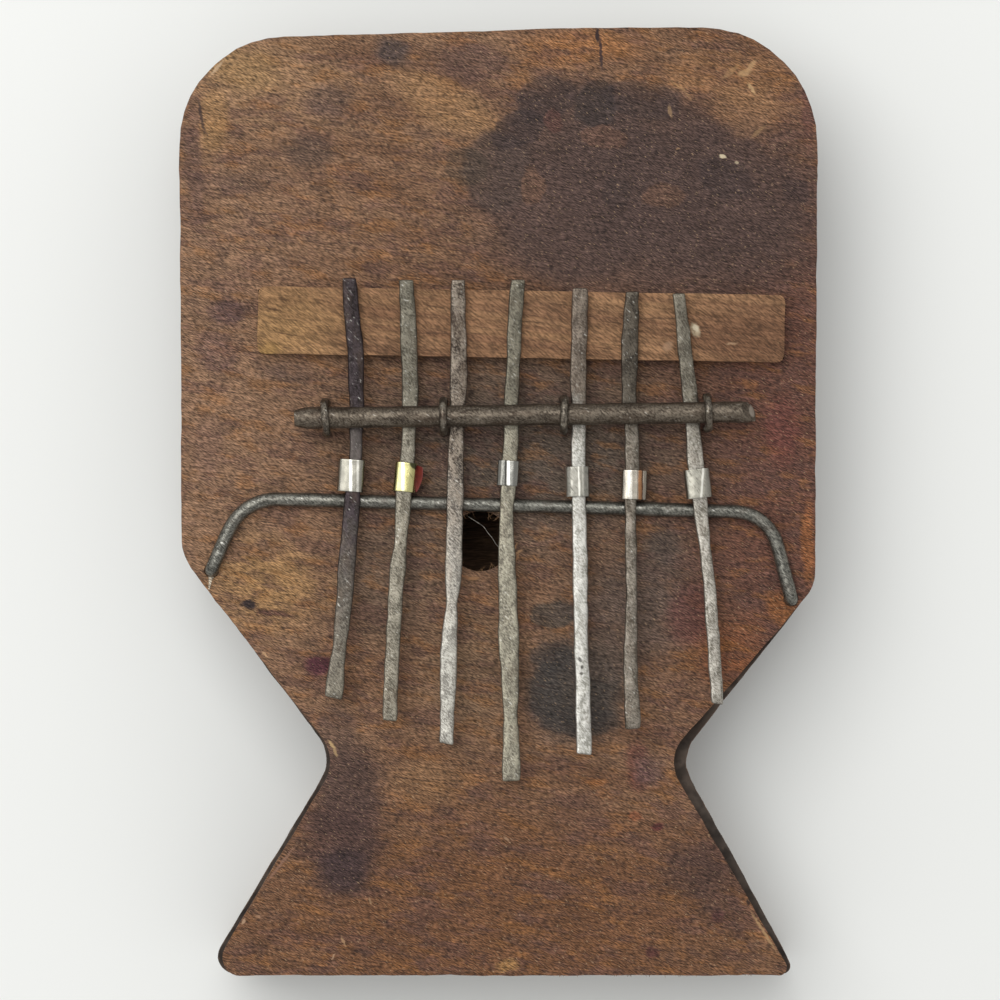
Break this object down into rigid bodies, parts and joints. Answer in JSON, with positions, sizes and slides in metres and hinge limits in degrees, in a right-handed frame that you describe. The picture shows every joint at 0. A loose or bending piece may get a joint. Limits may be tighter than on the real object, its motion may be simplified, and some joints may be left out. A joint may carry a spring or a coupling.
{
  "type": "kalimba",
  "caption": "Hand-made box kalimba with a waisted plywood soundboard, hammered iron tines held by a tied bar between two bridges, and sheet-metal buzzer rings.",
  "frame": {"origin": "bottom centre of the bounding box, on the back of the box", "axes": "+Y along the body towards the head, +Z out of the soundboard, +X to the right"},
  "size_m": [0.1276, 0.1896, 0.0426],
  "materials": {
    "soundboard_plywood": "stained, worn",
    "rim_wood": "dark stained",
    "strip_wood": "oiled",
    "rod_iron": "worn bare iron",
    "bar_iron": "rust-brown iron",
    "tine_iron": "hammered",
    "ring_tinplate": "tinned",
    "ring_brass": "lacquered, scratched"
  },
  "bodies": {
    "box": {"back_board": "rim_wood", "body_frame": "rim_wood", "soundboard": "soundboard_plywood", "rear_bridge": "strip_wood", "front_bridge": "rod_iron", "pressure_bar": "bar_iron", "wire_tie_1": "bar_iron", "wire_tie_2": "bar_iron", "wire_tie_3": "bar_iron", "wire_tie_4": "bar_iron"},
    "tine_1_heel": {"tine_1_heel": "tine_iron"},
    "tine_1_reed": {"tine_1_reed": "tine_iron"},
    "tine_2_heel": {"tine_2_heel": "tine_iron"},
    "tine_2_reed": {"tine_2_reed": "tine_iron"},
    "tine_3_heel": {"tine_3_heel": "tine_iron"},
    "tine_3_reed": {"tine_3_reed": "tine_iron"},
    "tine_4_heel": {"tine_4_heel": "tine_iron"},
    "tine_4_reed": {"tine_4_reed": "tine_iron"},
    "tine_5_heel": {"tine_5_heel": "tine_iron"},
    "tine_5_reed": {"tine_5_reed": "tine_iron"},
    "tine_6_heel": {"tine_6_heel": "tine_iron"},
    "tine_6_reed": {"tine_6_reed": "tine_iron"},
    "tine_7_heel": {"tine_7_heel": "tine_iron"},
    "tine_7_reed": {"tine_7_reed": "tine_iron"},
    "buzzer_ring_1": {"buzzer_ring_1": "ring_tinplate"},
    "buzzer_ring_2": {"buzzer_ring_2": "ring_brass"},
    "buzzer_ring_4": {"buzzer_ring_4": "ring_tinplate"},
    "buzzer_ring_5": {"buzzer_ring_5": "ring_tinplate"},
    "buzzer_ring_6": {"buzzer_ring_6": "ring_tinplate"},
    "buzzer_ring_7": {"buzzer_ring_7": "ring_tinplate"}
  },
  "joints": [
    {"name": "tine_1_tune", "type": "slide", "parent": "box", "child": "tine_1_heel", "axis": [0.0498, 0.9988, 0], "range_m": [-0.0015, 0.0015]},
    {"name": "tine_1_pluck", "type": "hinge", "parent": "tine_1_heel", "child": "tine_1_reed", "pos_m": [-0.0291, 0.00009, 0.03513], "axis": [0.9996, -0.027, 0], "range_deg": [-3, 3], "stiffness_Nm_per_rad": 6.2},
    {"name": "tine_2_tune", "type": "slide", "parent": "box", "child": "tine_2_heel", "axis": [0.0696, 0.9976, 0], "range_m": [-0.0015, 0.0015]},
    {"name": "tine_2_pluck", "type": "hinge", "parent": "tine_2_heel", "child": "tine_2_reed", "pos_m": [-0.019, -0.00019, 0.03513], "axis": [0.9996, -0.027, 0], "range_deg": [-3, 3], "stiffness_Nm_per_rad": 5.6},
    {"name": "tine_3_tune", "type": "slide", "parent": "box", "child": "tine_3_heel", "axis": [0.0275, 0.9996, 0], "range_m": [-0.0015, 0.0015]},
    {"name": "tine_3_pluck", "type": "hinge", "parent": "tine_3_heel", "child": "tine_3_reed", "pos_m": [-0.0087, -0.00047, 0.03513], "axis": [0.9996, -0.027, 0], "range_deg": [-3, 3], "stiffness_Nm_per_rad": 5.1},
    {"name": "tine_4_tune", "type": "slide", "parent": "box", "child": "tine_4_heel", "axis": [0.0484, 0.9988, 0], "range_m": [-0.0015, 0.0015]},
    {"name": "tine_4_pluck", "type": "hinge", "parent": "tine_4_heel", "child": "tine_4_reed", "pos_m": [0.0017, -0.00075, 0.03513], "axis": [0.9996, -0.027, 0], "range_deg": [-3, 3], "stiffness_Nm_per_rad": 4.4},
    {"name": "tine_5_tune", "type": "slide", "parent": "box", "child": "tine_5_heel", "axis": [-0.0067, 1, 0], "range_m": [-0.0015, 0.0015]},
    {"name": "tine_5_pluck", "type": "hinge", "parent": "tine_5_heel", "child": "tine_5_reed", "pos_m": [0.0161, -0.00114, 0.03513], "axis": [0.9996, -0.027, 0], "range_deg": [-3, 3], "stiffness_Nm_per_rad": 4.9},
    {"name": "tine_6_tune", "type": "slide", "parent": "box", "child": "tine_6_heel", "axis": [-0.0014, 1, 0], "range_m": [-0.0015, 0.0015]},
    {"name": "tine_6_pluck", "type": "hinge", "parent": "tine_6_heel", "child": "tine_6_reed", "pos_m": [0.0263, -0.00141, 0.03513], "axis": [0.9996, -0.027, 0], "range_deg": [-3, 3], "stiffness_Nm_per_rad": 5.5},
    {"name": "tine_7_tune", "type": "slide", "parent": "box", "child": "tine_7_heel", "axis": [-0.0974, 0.9952, 0], "range_m": [-0.0015, 0.0015]},
    {"name": "tine_7_pluck", "type": "hinge", "parent": "tine_7_heel", "child": "tine_7_reed", "pos_m": [0.0403, -0.00179, 0.03513], "axis": [0.9996, -0.027, 0], "range_deg": [-3, 3], "stiffness_Nm_per_rad": 6.3},
    {"name": "ring_1_slide", "type": "slide", "parent": "box", "child": "buzzer_ring_1", "axis": [0.0665, 0.9978, 0], "range_m": [0, 0.0039]},
    {"name": "ring_2_slide", "type": "slide", "parent": "box", "child": "buzzer_ring_2", "axis": [0.0995, 0.995, 0], "range_m": [-0.0004, 0.0045]},
    {"name": "ring_4_slide", "type": "slide", "parent": "box", "child": "buzzer_ring_4", "axis": [0.0555, 0.9985, 0], "range_m": [-0.0021, 0.0046]},
    {"name": "ring_5_slide", "type": "slide", "parent": "box", "child": "buzzer_ring_5", "axis": [-0.02, 0.9998, 0], "range_m": [-0.0003, 0.0061]},
    {"name": "ring_6_slide", "type": "slide", "parent": "box", "child": "buzzer_ring_6", "axis": [0.0375, 0.9993, 0], "range_m": [0, 0.0069]},
    {"name": "ring_7_slide", "type": "slide", "parent": "box", "child": "buzzer_ring_7", "axis": [-0.1104, 0.9939, 0], "range_m": [-0.0004, 0.0067]}
  ]
}
